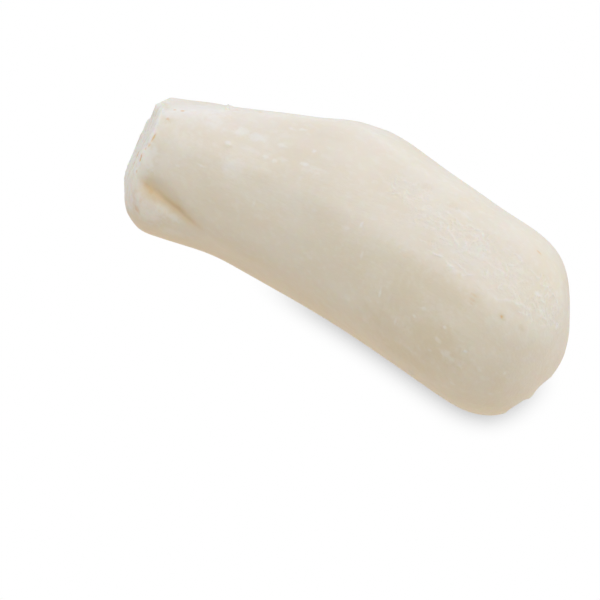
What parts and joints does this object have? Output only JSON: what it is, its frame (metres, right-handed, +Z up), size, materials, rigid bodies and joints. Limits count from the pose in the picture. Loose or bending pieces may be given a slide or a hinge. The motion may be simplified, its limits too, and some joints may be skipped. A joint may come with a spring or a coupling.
{
  "type": "peeled cassava root",
  "caption": "Peeled cassava root, bent in the middle, with a blunt rounded tip and an oblique cut at its stem end.",
  "frame": {"origin": "on the table, under the middle of the root's bounding box", "axes": "+X runs along the root from its cut stem end to its tip, +Y points to the outside of its bend, +Z is up"},
  "size_m": [0.1642, 0.0676, 0.0605],
  "materials": {
    "flesh": "satin, creamy white"
  },
  "bodies": {
    "root": {"cassava_root": "flesh"}
  },
  "joints": []
}
